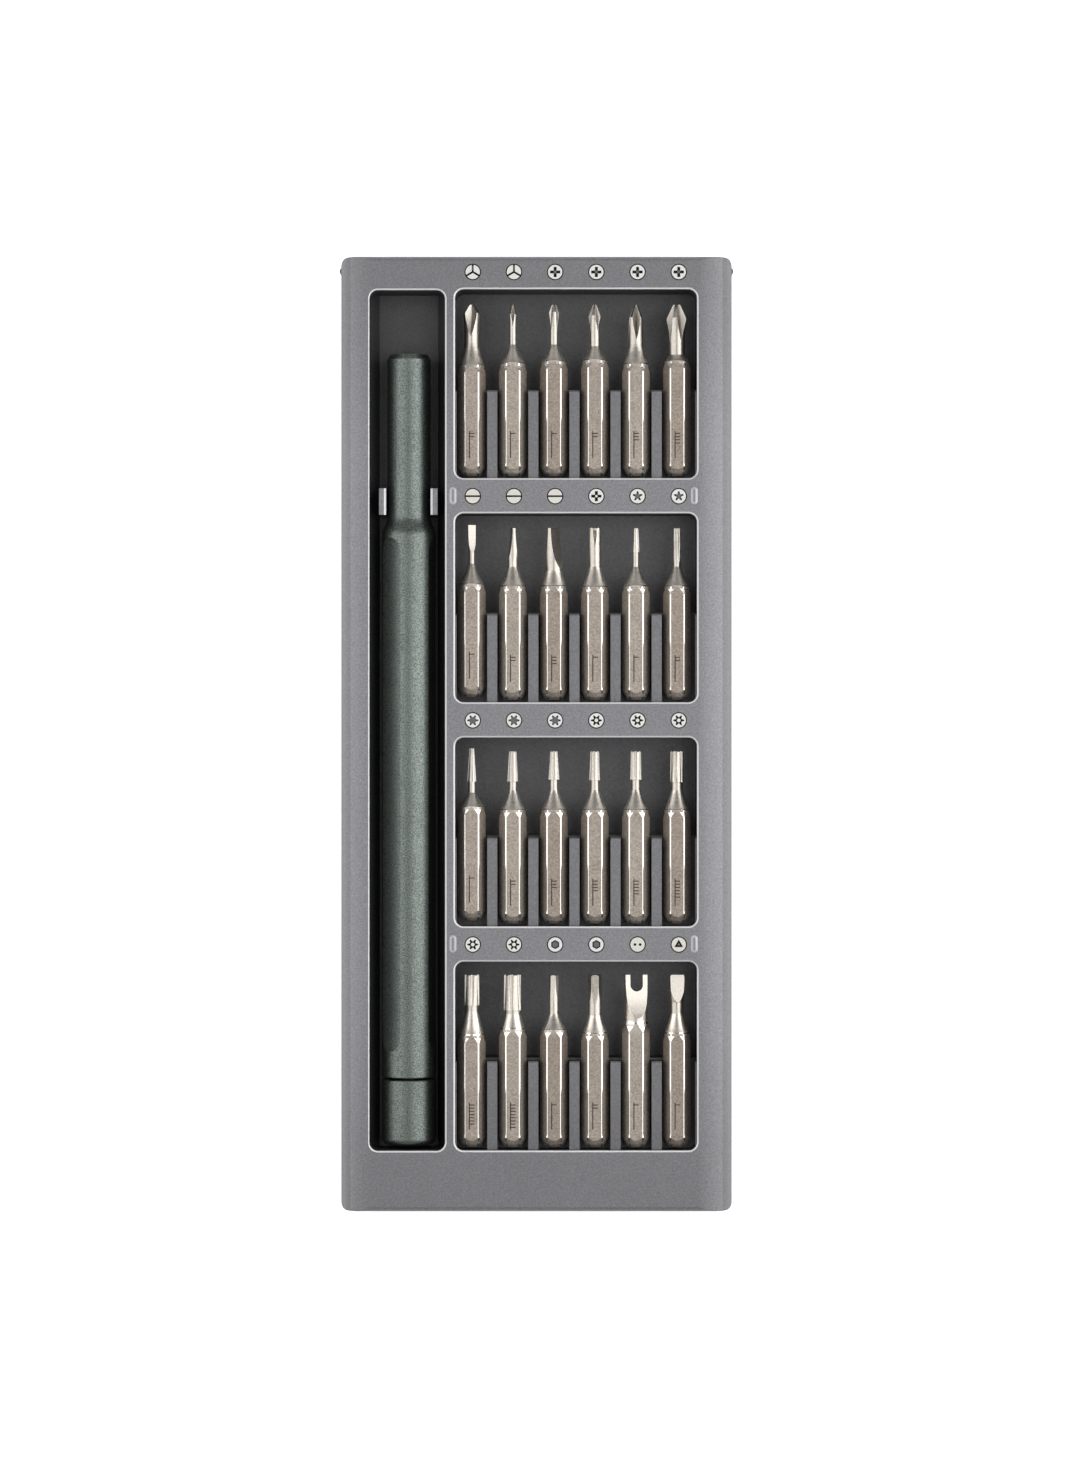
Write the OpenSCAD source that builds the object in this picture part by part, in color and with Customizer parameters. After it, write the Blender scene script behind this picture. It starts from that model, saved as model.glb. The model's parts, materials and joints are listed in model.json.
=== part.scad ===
// Precision screwdriver set: a moulded tray with a swivel-cap driver handle and 24 hexagon-shank bits.
// Millimetres. The origin is the centre of the tray's underside, +X runs across the tray to the bits'
// side, +Y runs along the tray towards the bit tips and +Z points up, out of the open pockets.

/* [Tray] */
// Width of the tray across its rounded sides
tray_w = 63.9; // [62:0.1:66]
// Length of the tray
tray_l = 155.2; // [154:0.1:160]
// Height of the tray's face above its underside
tray_h = 14.5; // [14.5:0.1:16]
// Radius of the long rounded shoulders
shoulder_r = 5.5; // [4:0.1:5.5]
// Radius of the four corners seen from above
corner_r = 1.2; // [0.8:0.1:2]
// Radius of the edges at the two ends
end_r = 0.8; // [0.5:0.1:1.2]
// Wall thickness of the mouldings
wall = 1.5; // [1.2:0.1:1.6]
// Height of the joint between the tray and its base cover
split_z = 5.6; // [5.5:0.1:6]
// Width of the bright chamfer round every pocket
rim_c = 0.25; // [0.15:0.05:0.4]
// Corner radius of the pockets
pocket_r = 1.4; // [1:0.1:2]

/* [Handle pocket] */
// Distance of the pocket's centre line from the tray's centre line
trough_x = -21; // [-21.2:0.1:-20.9]
// Distance of the pocket's middle from the tray's middle
trough_y = 2.2; // [2:0.1:2.4]
// Width of the pocket
trough_w = 12.3; // [12:0.1:12.6]
// Length of the pocket
trough_l = 139.8; // [139.5:0.1:140.2]
// Width of the pocket's flat floor
trough_floor_w = 9.6; // [9.2:0.1:10]
// Height of the sloping sides above the floor
trough_slope_h = 3.2; // [2:0.1:4]
// Position of the cradle for the handle's neck along the tray
cradle_y = 37.8; // [36:0.1:40]
// Length of the cradle along the tray
cradle_l = 4.3; // [3:0.1:5]
// Thickness of the cradle's two fingers
finger_t = 1.15; // [0.9:0.05:1.3]

/* [Bit pockets] */
// Distance of the bit pockets' centre line from the tray's centre line
rack_x = 6.42; // [6.3:0.02:6.5]
// Width of each bit pocket
rack_w = 39.3; // [39:0.1:39.5]
// Length of each bit pocket
rack_l = 30.7; // [30.5:0.1:31]
// Distance from the tray's middle to the middle of the first row's pocket
rack_y = 56.9; // [56.5:0.1:57]
// Distance between rows
row_pitch = 36.4; // [36.2:0.1:36.6]
// Distance between bits in a row
col_pitch = 6.69; // [6.6:0.01:6.75]
// Position of the first column of bits
col_x = -10.55; // [-10.7:0.05:-10.4]
// Length of the shelf and ribs that carry the shanks
shelf_l = 14.8; // [14:0.1:15]
// Depth of the well under the tips, below the face
well_d = 8.8; // [8.8:0.1:9]
// Width of a rib between two bits
rib_w = 1.65; // [1.4:0.05:1.7]
// Depth of the ribs' tops below the face
rib_d = 1.6; // [0.8:0.1:2.5]
// Width of the half ribs on the pocket's side walls
half_rib_w = 0.25; // [0.1:0.05:0.3]
// Radius of the shelf's front edge, on which a bit tilts
nose_r = 0.4; // [0.3:0.05:0.5]

/* [Bits] */
// Width of a bit's hexagon shank across its flats
bit_af = 4; // [3.9:0.05:4]
// Length of every bit
bit_l = 28; // [27.5:0.1:28]
// Width of the shank across its broken corners
bit_corner_d = 4.5; // [4.4:0.02:4.6]
// Depth of the bits' top flats below the face
bit_depth = 1; // [0.8:0.1:1.2]
// Free gap between a bit and the shelf under it
bit_gap = 0.05; // [0.03:0.01:0.1]
// Gap between a bit's rear end and the pocket wall
bit_end_gap = 0.42; // [0.3:0.02:0.6]

/* [Handle] */
// Distance of the handle's axis from the tray's centre line
handle_x = -20.85; // [-21:0.05:-20.8]
// Diameter of the grip
grip_d = 8.85; // [8.7:0.05:8.9]
// Diameter of the slim neck
neck_d = 7.1; // [7:0.05:7.2]
// Length of the handle, swivel cap included
handle_l = 128.9; // [128.5:0.1:129]
// Depth of the grip's top below the tray's face
handle_depth = 0.35; // [0.3:0.05:0.6]
// Length of the slim neck
neck_l = 26.4; // [25:0.1:27]
// Length of the curved shoulder between neck and grip
shoulder_l = 3.2; // [2.5:0.1:4]
// Distance of the three grip flats from the axis
flat_r = 3.9; // [3.7:0.05:4]
// Radius of the cutter that ends each flat
cutter_r = 5.5; // [4:0.5:7]
// Turn of the first flat from straight up
flat_turn = 44; // [0:1:115]
// Length of the swivel cap
cap_l = 10.65; // [10.4:0.05:10.8]
// Gap between the cap and the grip
cap_gap = 0.35; // [0.25:0.05:0.5]
// Radius of the swivel cap's outer edge
cap_edge_r = 1; // [0.6:0.1:1.2]

/* [Bit socket] */
// Outside diameter of the steel socket
socket_d = 5.6; // [5.4:0.1:5.8]
// Length of the steel socket
socket_l = 14; // [13:0.5:15]
// Depth of the hexagon hole
hex_depth = 10; // [9:0.5:10.5]
// Clearance of the hexagon hole across its flats
hex_play = 0.08; // [0.06:0.02:0.12]

/* [Swivel bearing] */
// Outside diameter of the ball bearing
bearing_od = 6; // [6:0.1:6.1]
// Bore of the ball bearing
bearing_id = 3; // [3:0.1:3]
// Width of the ball bearing
bearing_w = 2.5; // [2.4:0.1:2.6]
// Diameter of the balls
ball_d = 0.8; // [0.76:0.02:0.8]
// Number of balls
ball_count = 8; // [6:1:9]

/* [Base cover, screws and magnets] */
// Diameter of the screw shanks
screw_d = 2; // [1.8:0.1:2]
// Length of the screws
screw_l = 6; // [5:0.5:6]
// Diameter of the countersunk heads
screw_head_d = 3.8; // [3.6:0.1:4]
// Diameter of the screw bosses
boss_d = 4.6; // [4.2:0.1:5]
// Length of each magnet strip across a row of bits
magnet_l = 36; // [30:1:37]
// Width of a magnet strip
magnet_w = 4; // [3:0.5:5]
// Thickness of a magnet strip
magnet_t = 1.5; // [1:0.1:2]

/* [Hidden] */
$fn = 72;

tray_grey = [0.36, 0.36, 0.38];
handle_green = [0.36, 0.40, 0.37];
bit_nickel = [0.62, 0.58, 0.53];
steel = [0.75, 0.76, 0.78];
magnet_grey = [0.45, 0.46, 0.48];

far = 200;      // longer than anything in the set
skin = 0.01;    // clearance between two parts that are pressed together
lap = 0.3;      // how far one lump of a moulding is sunk into the next

rows = 4;
cols = 6;
bit_z = tray_h - bit_depth - bit_af / 2;
shelf_z = bit_z - bit_af / 2 - bit_gap;
well_z = tray_h - well_d;
shelf_t = 1.3;
handle_z = tray_h - handle_depth - grip_d / 2;
trough_z = handle_z - grip_d / 2 - 0.05;
handle_y0 = trough_y - trough_l / 2 + 0.7;
inner_r = shoulder_r - wall;
magnet_z = shelf_z - shelf_t - magnet_t;
boss_z = 2.8;
screw_head_h = (screw_head_d - screw_d) / 2;
screw_places = [
    [-7.2, rack_y - rack_l / 2 + 2.4], [20, rack_y - rack_l / 2 + 2.4],
    [-7.2, rack_y - 2 * row_pitch - rack_l / 2 + 2.4], [20, rack_y - 2 * row_pitch - rack_l / 2 + 2.4],
    [trough_x, -tray_l / 2 + 4.7], [20, -tray_l / 2 + 4.7]
];

function row_y(row) = rack_y - row * row_pitch;
function shelf_edge(row) = row_y(row) - rack_l / 2 + shelf_l;
function bit_x(col) = col_x + col * col_pitch;
// 0 to 1 along a smooth S
function ease(s) = (1 - cos(180 * s)) / 2;

// ---------------------------------------------------------------- shared shapes

// A rectangle with round corners, centred
module round_rect(w, l, r) {
    square([w - 2 * r, l], center = true);
    square([w, l - 2 * r], center = true);
    for (sx = [-1, 1], sy = [-1, 1])
        translate([sx * (w / 2 - r), sy * (l / 2 - r)])
            circle(r);
}

// A profile drawn in X and Z, run along Y over the length l about the origin
module along_y(l) {
    translate([0, l / 2, 0])
        rotate([90, 0, 0])
            linear_extrude(l)
                children();
}

// A profile drawn in Y and Z, run along X over the length w about the origin
module along_x(w) {
    translate([-w / 2, 0, 0])
        rotate([90, 0, 90])
            linear_extrude(w)
                children();
}

// A round-cornered prism whose sides lean out at 45 degrees from the height z, for chamfered rims
module flare(w, l, r, z, h) {
    along_y(l - 2 * r)
        polygon([[-w / 2, z], [w / 2, z], [w / 2 + h, z + h], [-w / 2 - h, z + h]]);
    along_x(w - 2 * r)
        polygon([[-l / 2, z], [l / 2, z], [l / 2 + h, z + h], [-l / 2 - h, z + h]]);
    for (sx = [-1, 1], sy = [-1, 1])
        translate([sx * (w / 2 - r), sy * (l / 2 - r), z])
            cylinder(h = h, r1 = r, r2 = r + h);
}

// The tray's whole outside: three rounded outlines crossed
module tray_outside() {
    intersection() {
        translate([0, 0, tray_h / 2])
            along_y(tray_l)
                round_rect(tray_w, tray_h, shoulder_r);
        translate([0, 0, tray_h / 2])
            along_x(tray_w)
                round_rect(tray_l, tray_h, end_r);
        linear_extrude(tray_h)
            round_rect(tray_w, tray_l, corner_r);
    }
}

// The hollow inside the two mouldings
module tray_inside() {
    translate([0, 0, tray_h / 2])
        along_y(tray_l - 2 * wall)
            round_rect(tray_w - 2 * wall, tray_h - 2 * wall, inner_r);
}

// ---------------------------------------------------------------- tray

// The material round the handle pocket
module trough_tub() {
    bottom = trough_z - shelf_t;
    translate([trough_x, trough_y, bottom])
        linear_extrude(tray_h - wall / 2 - bottom)
            round_rect(trough_w + 2 * shelf_t, trough_l + 2 * shelf_t, pocket_r + shelf_t);
}

module trough_space() {
    side = trough_w / 2;
    foot = trough_floor_w / 2;
    translate([trough_x, trough_y, 0]) {
        intersection() {
            along_y(trough_l)
                polygon([
                    [-foot, trough_z], [foot, trough_z], [side, trough_z + trough_slope_h],
                    [side, tray_h + 1], [-side, tray_h + 1], [-side, trough_z + trough_slope_h]
                ]);
            linear_extrude(far)
                round_rect(trough_w, trough_l, pocket_r);
        }
        flare(trough_w, trough_l, pocket_r, tray_h - rim_c, rim_c + 1);
    }
}

// The saddle under the handle's neck, with its two upright fingers
module neck_cradle() {
    half = neck_d / 2 + 0.06;
    top = tray_h - 1;
    lead = 0.35;
    translate([handle_x, cradle_y, 0])
        along_y(cradle_l)
            difference() {
                polygon([
                    [-half - finger_t, trough_z - lap], [half + finger_t, trough_z - lap],
                    [half + finger_t, top], [half + lead, top], [half, top - lead],
                    [half, handle_z], [-half, handle_z],
                    [-half, top - lead], [-half - lead, top], [-half - finger_t, top]
                ]);
                translate([0, handle_z])
                    circle(half);
            }
}

module rack_tub(row) {
    well_bottom = well_z - shelf_t;
    shelf_bottom = shelf_z - shelf_t;
    w = rack_w + 2 * shelf_t;
    y0 = row_y(row) - rack_l / 2 - shelf_t;
    y1 = shelf_edge(row) - shelf_t;
    y2 = row_y(row) + rack_l / 2 + shelf_t;
    translate([rack_x - w / 2, y0, shelf_bottom])
        cube([w, y2 - y0, tray_h - wall / 2 - shelf_bottom]);
    translate([rack_x - w / 2, y1, well_bottom])
        cube([w, y2 - y1, tray_h - wall / 2 - well_bottom]);
}

// One bit pocket: a shelf for the shanks with a rounded front edge, and a well under the tips
module rack_space(row) {
    y_back = row_y(row) - rack_l / 2;
    y_front = row_y(row) + rack_l / 2;
    edge = shelf_edge(row);
    intersection() {
        translate([rack_x, 0, 0])
            along_x(rack_w) {
                translate([y_back, shelf_z])
                    square([rack_l, tray_h + 1 - shelf_z]);
                translate([edge, well_z])
                    square([y_front - edge, tray_h - well_z]);
                difference() {
                    translate([edge - nose_r, shelf_z - nose_r])
                        square([nose_r + 0.1, nose_r + 0.1]);
                    translate([edge - nose_r, shelf_z - nose_r])
                        circle(nose_r);
                }
            }
        translate([rack_x, row_y(row), 0])
            linear_extrude(far)
                round_rect(rack_w, rack_l, pocket_r);
    }
    translate([rack_x, row_y(row), 0])
        flare(rack_w, rack_l, pocket_r, tray_h - rim_c, rim_c + 1);
}

// A rib between two bits, with its front top edge broken
module rib(row, x, w) {
    top = tray_h - rib_d;
    y0 = row_y(row) - rack_l / 2 - lap;
    y1 = shelf_edge(row) - nose_r;
    translate([x, 0, 0])
        along_x(w)
            polygon([
                [y0, shelf_z - lap], [y1, shelf_z - lap], [y1, top - rim_c], [y1 - rim_c, top], [y0, top]
            ]);
}

module rack_ribs(row) {
    for (i = [0.5 : 1 : cols - 1])
        rib(row, bit_x(i), rib_w);
    for (side = [-1, 1])
        rib(row, rack_x + side * (rack_w / 2 - half_rib_w / 2 + lap / 2), half_rib_w + lap);
}

// Low rails that locate a magnet strip under the shelf
module magnet_rails(row) {
    w = 1;
    y = magnet_y(row);
    for (side = [-1, 1])
        translate([
            rack_x - magnet_l / 2, y + side * (magnet_w / 2 + skin + w / 2) - w / 2, magnet_z
        ])
            cube([magnet_l, w, magnet_t + lap]);
}

function magnet_y(row) = row_y(row) - rack_l / 2 + 8;

module screw_boss(place) {
    // a boss at the tray's end reaches its roof, the others hang from a shelf
    top = place[1] < row_y(rows - 1) - rack_l / 2 ? tray_h - wall + lap : shelf_z - shelf_t + lap;
    translate([place[0], place[1], boss_z])
        cylinder(h = top - boss_z, d = boss_d);
}

module screw_bore(place) {
    translate([place[0], place[1], boss_z - 1])
        cylinder(h = screw_l - boss_z + 1.8, d = screw_d + 2 * skin);
}

// A low raised pill on the face: it rubs on the inside of the sleeve
module pip(x, y) {
    w = 1.15;
    l = 2.9;
    h = 0.22;
    r = (w * w / 4 + h * h) / (2 * h);
    translate([x, y, tray_h + h - r]) {
        rotate([90, 0, 0])
            cylinder(h = l - w, r = r, center = true);
        for (s = [-1, 1])
            translate([0, s * (l - w) / 2, 0])
                sphere(r);
    }
}

// A small upright bump on each side near the front end, which snaps into the sleeve
module snap_bumps() {
    r = 0.8;
    for (side = [-1, 1])
        translate([side * (tray_w / 2 - 0.55), tray_l / 2 - 1.9, split_z + 0.4])
            cylinder(h = tray_h - shoulder_r - split_z - 0.4, r = r);
}

module tray_body() {
    color(tray_grey) {
        difference() {
            union() {
                difference() {
                    tray_outside();
                    tray_inside();
                    translate([-far / 2, -far / 2, -1])
                        cube([far, far, split_z + 1]);
                }
                trough_tub();
                for (row = [0 : rows - 1]) {
                    rack_tub(row);
                    magnet_rails(row);
                }
                for (place = screw_places)
                    screw_boss(place);
                snap_bumps();
                pip(rack_x - rack_w / 2 - 0.33, row_y(0) - row_pitch / 2);
                pip(rack_x + rack_w / 2 - 0.45, row_y(0) - row_pitch / 2);
                pip(rack_x - rack_w / 2 - 0.33, row_y(2) - row_pitch / 2);
                pip(rack_x + rack_w / 2 - 0.45, row_y(2) - row_pitch / 2);
            }
            trough_space();
            for (row = [0 : rows - 1])
                rack_space(row);
            for (place = screw_places)
                screw_bore(place);
        }
        neck_cradle();
        for (row = [0 : rows - 1])
            rack_ribs(row);
    }
}

// The lower shell, with a lip inside the tray's wall and a seat for every screw
module base_cover() {
    lip_t = 0.8;
    lip_h = 1.2;
    lip_w = tray_w - 2 * wall - 0.2;
    lip_l = tray_l - 2 * wall - 0.2;
    color(tray_grey)
        difference() {
            union() {
                difference() {
                    tray_outside();
                    tray_inside();
                    translate([-far / 2, -far / 2, split_z])
                        cube([far, far, far]);
                }
                translate([0, 0, split_z - 1.4])
                    linear_extrude(lip_h + 1.4)
                        difference() {
                            square([lip_w, lip_l], center = true);
                            square([lip_w - 2 * lip_t, lip_l - 2 * lip_t], center = true);
                        }
                // the lip's foot joins it to the wall
                translate([0, 0, split_z - 1.4])
                    linear_extrude(1.4)
                        difference() {
                            square([tray_w - 2 * wall + lap, tray_l - 2 * wall + lap], center = true);
                            square([lip_w - 2 * lip_t, lip_l - 2 * lip_t], center = true);
                        }
                for (place = screw_places)
                    translate([place[0], place[1], wall - lap])
                        cylinder(h = boss_z - wall + lap, d = boss_d);
            }
            for (place = screw_places)
                translate([place[0], place[1], 0])
                    screw_seat();
        }
}

module screw_seat() {
    translate([0, 0, -1])
        cylinder(h = boss_z + 2, d = screw_d + 0.3);
    translate([0, 0, -1])
        cylinder(h = 1.2, d = screw_head_d + 0.1);
    translate([0, 0, 0.2 - 2 * skin])
        cylinder(h = screw_head_h + 0.1, d1 = screw_head_d + 0.1, d2 = screw_d - 0.1);
}

// Countersunk screws from below, with a cross recess
module cover_screws() {
    color(steel)
        for (place = screw_places)
            translate([place[0], place[1], 0.2])
                difference() {
                    union() {
                        cylinder(h = screw_head_h, d1 = screw_head_d, d2 = screw_d);
                        translate([0, 0, screw_head_h - 0.1])
                            cylinder(h = screw_l - screw_head_h - 0.5, d = screw_d);
                        translate([0, 0, screw_l - 0.6])
                            cylinder(h = 0.6, d1 = screw_d, d2 = screw_d / 2);
                    }
                    for (turn = [0, 90])
                        rotate(turn)
                            translate([-1.1, -0.2, -1])
                                cube([2.2, 0.4, 1.7]);
                }
}

// Magnet strips under the shelves
module bit_magnets() {
    color(magnet_grey)
        for (row = [0 : rows - 1])
            translate([
                rack_x - magnet_l / 2, magnet_y(row) - magnet_w / 2, magnet_z - skin
            ])
                cube([magnet_l, magnet_w, magnet_t]);
}

// ---------------------------------------------------------------- handle

// Places a part drawn upright, cap end at zero and neck up, on the handle's axis in the tray
module on_handle() {
    translate([handle_x, handle_y0, handle_z])
        rotate([-90, 0, 0])
            children();
}

grip_z0 = cap_l + cap_gap;
grip_z1 = handle_l - neck_l - shoulder_l;
neck_z0 = handle_l - neck_l;
spindle_l = 6;
bearing_z = grip_z0 - 0.9 - bearing_w;

// The turned grip and neck, bored from the rear for the spindle and from the front for the socket
module turned_grip() {
    steps = 16;
    edge = 0.15;
    tip_r = 0.4;
    tip_l = 0.8;
    rear_bore_z = grip_z0 + spindle_l + 0.5;
    front_bore_z = handle_l - socket_l - 3.5;
    rotate_extrude()
        polygon(concat(
            [
                [0, rear_bore_z], [bearing_id / 2, rear_bore_z], [bearing_id / 2, grip_z0],
                [grip_d / 2 - edge, grip_z0], [grip_d / 2, grip_z0 + edge]
            ],
            [for (i = [0 : steps]) [
                grip_d / 2 - (grip_d - neck_d) / 2 * ease(i / steps),
                grip_z1 + shoulder_l * i / steps
            ]],
            [
                [neck_d / 2, handle_l - tip_l], [neck_d / 2 - tip_r, handle_l],
                [socket_d / 2, handle_l], [socket_d / 2, front_bore_z], [0, front_bore_z]
            ]
        ));
}

// The cutter for one grip flat: flat floor, round ends
module flat_cutter() {
    run_out = sqrt(cutter_r * cutter_r - pow(cutter_r - grip_d / 2 + flat_r, 2));
    z0 = grip_z0 + 4.3 + run_out;
    z1 = grip_z1 - run_out - 0.3;
    along_x(grip_d * 0.8) {
        translate([flat_r, z0])
            square([2 * cutter_r, z1 - z0]);
        for (z = [z0, z1])
            translate([flat_r + cutter_r, z])
                circle(cutter_r);
    }
}

module handle_body() {
    color(handle_green)
        on_handle()
            difference() {
                turned_grip();
                // local -Y is up when the handle lies in the tray
                for (k = [0 : 2])
                    rotate(180 - flat_turn + 120 * k)
                        flat_cutter();
            }
}

module bit_socket() {
    color(steel)
        on_handle()
            translate([0, 0, handle_l - socket_l - 0.3])
                difference() {
                    cylinder(h = socket_l, d = socket_d - 2 * skin);
                    translate([0, 0, socket_l - hex_depth])
                        linear_extrude(far)
                            rotate(30)
                                circle(d = (bit_af + hex_play) * 2 / sqrt(3), $fn = 6);
                    translate([0, 0, -1])
                        cylinder(h = far, d = 3.6);
                    translate([0, 0, socket_l - 0.5])
                        cylinder(h = 1, d1 = bit_af, d2 = bit_af + 2);
                }
}

module socket_magnet() {
    color(magnet_grey)
        on_handle()
            translate([0, 0, handle_l - socket_l - 0.2])
                cylinder(h = socket_l - hex_depth - 0.2, d = 3.58);
}

// The steel pin on which the cap turns: a shank in the grip, a flange, a journal and a clip groove
module cap_spindle() {
    r = bearing_id / 2;
    groove_z = bearing_z - 0.1;
    end_z = bearing_z - 1;
    color(steel)
        on_handle()
            rotate_extrude()
                polygon([
                    [0, end_z], [r - 0.3, end_z], [r - 0.1, end_z + 0.2],
                    [r - 0.1, groove_z - 0.45], [r - 0.5, groove_z - 0.45],
                    [r - 0.5, groove_z], [r - skin, groove_z],
                    [r - skin, bearing_z + bearing_w + skin], [r + 0.55, bearing_z + bearing_w + skin],
                    [r + 0.55, grip_z0 - skin], [r - skin, grip_z0 - skin],
                    [r - skin, grip_z0 + spindle_l - 0.3], [r - 0.3, grip_z0 + spindle_l],
                    [0, grip_z0 + spindle_l]
                ]);
}

// Open retaining ring in the spindle's groove
module spindle_clip() {
    t = 0.4;
    color(steel)
        on_handle()
            translate([0, 0, bearing_z - 0.12 - t])
                difference() {
                    cylinder(h = t, r = 2);
                    translate([0, 0, -1])
                        cylinder(h = 3, r = bearing_id / 2 - 0.48);
                    translate([0, -0.7, -1])
                        cube([5, 1.4, 3]);
                }
}

ball_ring_r = (bearing_od + bearing_id) / 4;
ball_z = bearing_z + bearing_w / 2;

// One bearing race: a ring with a groove that clears the balls
module race(r0, r1) {
    on_handle()
        rotate_extrude()
            difference() {
                translate([r0, bearing_z])
                    square([r1 - r0, bearing_w]);
                translate([ball_ring_r, ball_z])
                    circle(ball_d / 2 + 0.02);
            }
}

module bearing_inner_race() {
    color(steel)
        race(bearing_id / 2, ball_ring_r - 0.22);
}

module bearing_outer_race() {
    color(steel)
        race(ball_ring_r + 0.22, bearing_od / 2 - skin);
}

module bearing_balls() {
    color(steel)
        on_handle()
            for (i = [0 : ball_count - 1])
                rotate(360 / ball_count * i)
                    translate([ball_ring_r, 0, ball_z])
                        sphere(d = ball_d);
}

module bearing_cage() {
    color("goldenrod")
        on_handle()
            difference() {
                translate([0, 0, ball_z - 0.6])
                    cylinder(h = 1.2, r = ball_ring_r + 0.15);
                cylinder(h = far, r = ball_ring_r - 0.15);
                for (i = [0 : ball_count - 1])
                    rotate(360 / ball_count * i)
                        translate([0, 0, ball_z])
                            rotate([0, 90, 0])
                                cylinder(h = ball_ring_r + 1, d = ball_d + 0.03);
            }
}

module swivel_cap() {
    r = grip_d / 2;
    seat_z = bearing_z - skin;
    steps = 8;
    color(handle_green)
        on_handle()
            rotate_extrude()
                polygon(concat(
                    [[0, 0], [r - cap_edge_r, 0]],
                    [for (i = [1 : steps]) [
                        r - cap_edge_r + cap_edge_r * sin(90 * i / steps),
                        cap_edge_r - cap_edge_r * cos(90 * i / steps)
                    ]],
                    [
                        [r, cap_l - 0.15], [r - 0.15, cap_l], [bearing_od / 2 + 0.2, cap_l],
                        [bearing_od / 2, cap_l - 0.2], [bearing_od / 2, seat_z],
                        [bearing_od / 2 - 0.6, seat_z], [bearing_od / 2 - 0.6, seat_z - 1.8], [0, seat_z - 1.8]
                    ]
                ));
}

// ---------------------------------------------------------------- bits

// Places a bit drawn upright, tip at zero, in its pocket: local +Y is up. size is its tally.
module in_rack(row, col, size, forward = 0) {
    y_tip = row_y(row) - rack_l / 2 + bit_end_gap + bit_l + forward;
    color(bit_nickel)
        translate([bit_x(col), y_tip, bit_z])
            rotate([90, 0, 0])
                difference() {
                    children();
                    size_tally(size);
                }
}

// Engraved size tally on a shank's top flat: a line along it with one tick for every size step
module size_tally(count) {
    deep = 0.07;
    line = 0.17;
    tick = 0.6;
    step = 0.52;
    z0 = 21;
    translate([-0.45, bit_af / 2 - deep, z0 - 0.3])
        cube([line, 1, 4.4]);
    for (i = [0 : count - 1])
        translate([-0.35, bit_af / 2 - deep, z0 + i * step])
            cube([tick + 0.2, 1, line]);
}

// Hexagon shank with broken corners, a rounded rear end and a flare that runs down to the neck.
// The flare starts at flare_0 with the neck's radius and reaches the shank's flats just before flare_1.
// bend above 1 makes it hollow. Beyond it the flats open out in a pointed arch.
module shank(neck, flare_0, flare_1, bend = 1.15) {
    steps = 6;
    arch_steps = 3;
    arch_0 = flare_1 - 0.45;
    arch_l = 1.2;
    r0 = neck / 2;
    r1 = bit_corner_d / 2;
    flat = bit_af / 2;
    half_flat = sqrt(r1 * r1 - flat * flat);
    intersection() {
        rotate_extrude()
            polygon(concat(
                [[0, flare_0]],
                [for (i = [0 : steps]) [
                    r0 + (flat + 0.01 - r0) * pow(i / steps, bend),
                    flare_0 + (arch_0 - flare_0) * i / steps
                ]],
                [for (i = [1 : arch_steps]) [
                    sqrt(flat * flat + pow(half_flat * pow(i / arch_steps, 0.75), 2)),
                    arch_0 + arch_l * i / arch_steps
                ]],
                [[r1, bit_l - 1.6], [2.05, bit_l - 1.2], [1.7, bit_l - 0.45], [1.3, bit_l], [0, bit_l]]
            ));
        translate([0, 0, flare_0 - 1])
            linear_extrude(bit_l)
                circle(r = bit_af / sqrt(3), $fn = 6);
    }
}

// n cuts of a grinding wheel round a tip. Each starts core from the axis at the point and rises in an
// arc that leaves the radius r_end at t_end. The child is the wheel's edge, with its rim at zero.
module ground(n, core, r_end, t_end, turn) {
    rise = r_end - core;
    wheel_r = (t_end * t_end + rise * rise) / (2 * rise);
    for (k = [0 : n - 1])
        rotate(turn + k * 360 / n)
            translate([core + wheel_r, 0, 0])
                rotate([90, 0, 0])
                    rotate_extrude()
                        translate([wheel_r, 0])
                            children();
}

// The edge of a wheel that grinds grooves, half is half its angle
module vee_edge(half) {
    reach = 2;
    polygon([[0, 0], [-reach, reach * tan(half)], [-reach, -reach * tan(half)]]);
}

// The edge of a wheel that grinds flats
module flat_edge(w) {
    reach = 2.2;
    translate([-reach, -w])
        square([reach, 2 * w]);
}

// The round blank of a tip: end radius, then the widest radius at t_wide, then the neck from t_neck
module blank(tip, d, t_wide, t_hold, neck, t_neck, flare_0) {
    rotate_extrude()
        polygon([
            [0, 0], [tip / 2, 0], [d / 2, t_wide], [d / 2, t_hold], [neck / 2, t_neck],
            [neck / 2, flare_0 + 0.1], [0, flare_0 + 0.1]
        ]);
}

// A pointed tip with n wings between ground grooves. The first wing stands at the angle turn.
module winged_bit(n, tip, d, t_wide, neck, t_end, core, turn, flare_0, flare_1, half, bend = 1.15) {
    difference() {
        blank(tip, d, t_wide, t_wide + 0.3, neck, t_wide + 0.6 * (t_end - t_wide), flare_0);
        ground(n, core, neck / 2, t_end, turn + 180 / n)
            vee_edge(half);
    }
    shank(neck, flare_0, flare_1, bend);
}

// A flat blade w wide and th thick at its edge, ground from the round over the length grind
module blade_bit(w, th, grind, neck, turn, flare_0, flare_1, bend = 1.15) {
    difference() {
        blank(w - 0.06, w, 0.05, 0.7 * grind, neck, grind + 0.1, flare_0);
        ground(2, th / 2, neck / 2, grind, turn + 90)
            flat_edge(w);
    }
    shank(neck, flare_0, flare_1, bend);
}

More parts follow.
